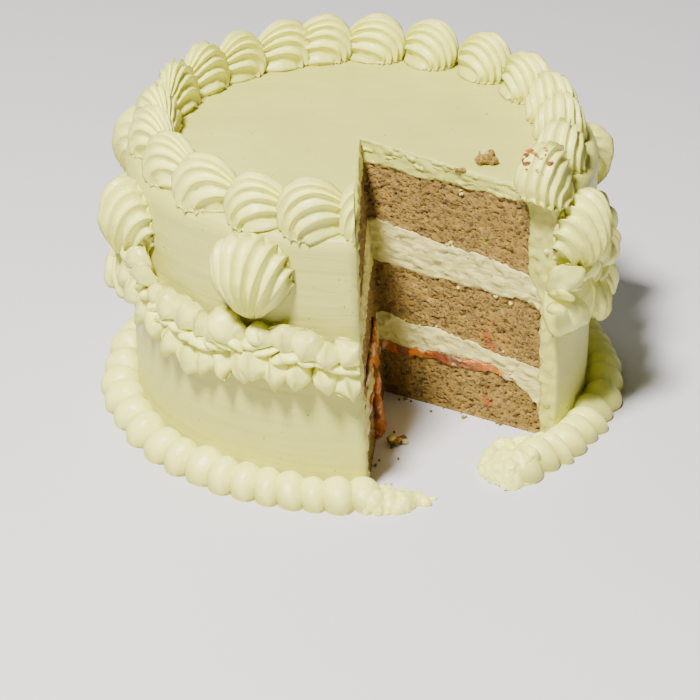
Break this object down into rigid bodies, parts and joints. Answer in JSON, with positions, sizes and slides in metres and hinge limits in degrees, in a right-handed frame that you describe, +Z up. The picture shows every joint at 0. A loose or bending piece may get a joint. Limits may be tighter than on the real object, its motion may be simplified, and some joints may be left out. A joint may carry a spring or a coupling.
{
  "type": "layer cake",
  "caption": "Round iced layer cake with piped shells, swagged garland and beaded foot, one slice cut out to show sponge, cream and fruit spread.",
  "frame": {"origin": "centre of the round cake's underside, on the surface it stands on", "axes": "+Z up; the middle of the missing slice opens towards -Y and +X; the reference view looks along +Y"},
  "size_m": [0.1897, 0.1895, 0.1112],
  "materials": {
    "sponge": "open baked crumb, matt",
    "fruit_spread": "moist fruit, slightly glossy",
    "filling_cream": "soft satin cream",
    "icing": "smoothed buttercream, soft satin",
    "piping": "piped buttercream, soft satin"
  },
  "bodies": {
    "root": {"sponge_bottom": "sponge", "sponge_middle": "sponge", "sponge_top": "sponge", "fruit_spread": "fruit_spread", "cream_lower": "filling_cream", "cream_upper": "filling_cream", "icing": "icing", "top_shell_01": "piping", "top_shell_02": "piping", "top_shell_03": "piping", "top_shell_04": "piping", "top_shell_05": "piping", "top_shell_06": "piping", "top_shell_07": "piping", "top_shell_08": "piping", "top_shell_09": "piping", "top_shell_10": "piping", "top_shell_11": "piping", "top_shell_12": "piping", "top_shell_13": "piping", "top_shell_14": "piping", "top_shell_15": "piping", "top_shell_16": "piping", "top_shell_17": "piping", "top_shell_18": "piping", "top_shell_19": "piping", "top_shell_20": "piping", "side_shell_1": "piping", "side_shell_2": "piping", "side_shell_3": "piping", "side_shell_4": "piping", "side_shell_5": "piping", "side_shell_6": "piping", "side_shell_7": "piping", "garland_upper_1": "piping", "garland_upper_2": "piping", "garland_upper_3": "piping", "garland_upper_4": "piping", "garland_upper_5": "piping", "garland_upper_6": "piping", "garland_upper_7": "piping", "garland_upper_8": "piping", "garland_lower_1": "piping", "garland_lower_2": "piping", "garland_lower_3": "piping", "garland_lower_4": "piping", "garland_lower_5": "piping", "garland_lower_6": "piping", "garland_lower_7": "piping", "garland_lower_8": "piping", "base_border": "piping", "base_border_scrap": "piping"}
  },
  "joints": []
}
